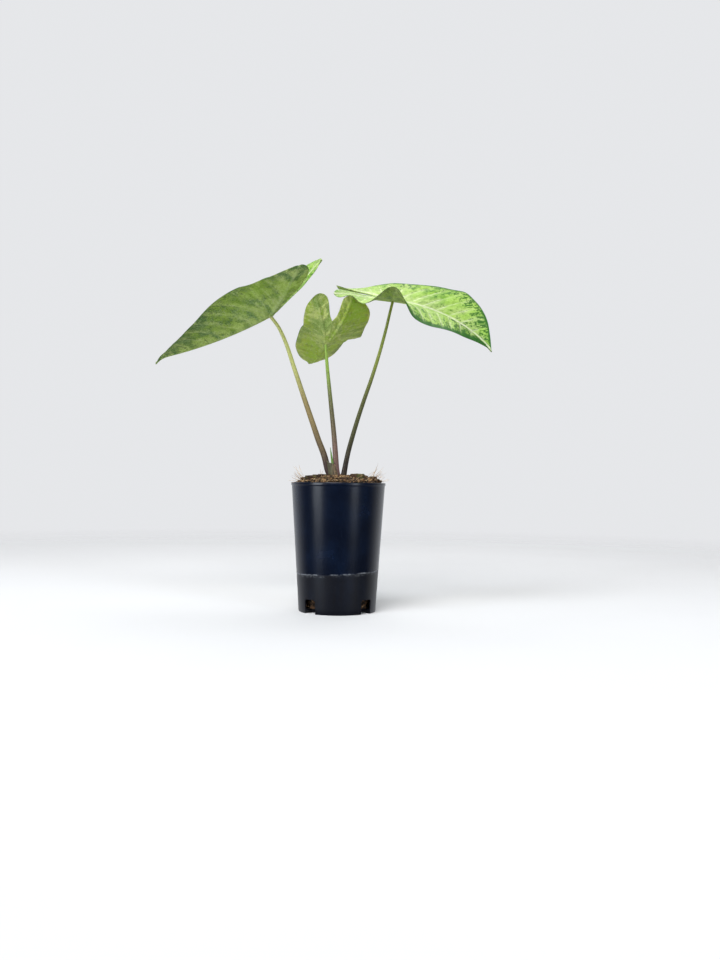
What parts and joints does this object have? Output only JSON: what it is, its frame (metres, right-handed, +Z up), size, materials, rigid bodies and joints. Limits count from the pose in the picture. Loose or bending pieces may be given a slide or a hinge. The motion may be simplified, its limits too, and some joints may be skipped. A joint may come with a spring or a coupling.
{
  "type": "potted caladium plant",
  "caption": "Young caladium with arrow-shaped variegated leaves on long stalks, growing from coir and bark mix in a slim tapered starter pot with a plain rim.",
  "frame": {"origin": "centre of the pot's underside, on the surface the pot stands on", "axes": "+Z up from the pot's foot towards the leaves; the front of the plant, as seen in the reference view, faces -Y; +X to the right in that view"},
  "size_m": [0.2592, 0.1433, 0.2602],
  "materials": {
    "pot": "gloss",
    "mix": "matte",
    "corm": "matte",
    "bark": "matte",
    "stalk": "satin",
    "leaf": "satin",
    "new_leaf": "satin",
    "sheath": "matte"
  },
  "bodies": {
    "root": {"pot": "pot", "potting_mix": "mix", "corm": "corm", "bark_chunk_1": "bark", "bark_chunk_2": "bark", "bark_chunk_3": "bark", "bark_chunk_4": "bark", "bark_chunk_5": "bark", "bark_chunk_6": "bark", "bark_chunk_7": "bark", "bark_chunk_8": "bark", "bark_chunk_9": "bark", "bark_chunk_10": "bark", "bark_chunk_11": "bark", "bark_chunk_12": "bark", "bark_chunk_13": "bark", "bark_chunk_14": "bark", "left_leaf_stalk": "stalk", "middle_leaf_stalk": "stalk", "right_leaf_stalk": "stalk", "left_leaf_blade": "leaf", "middle_leaf_blade": "leaf", "right_leaf_blade": "leaf", "new_leaf": "new_leaf", "sheath": "sheath"}
  },
  "joints": []
}
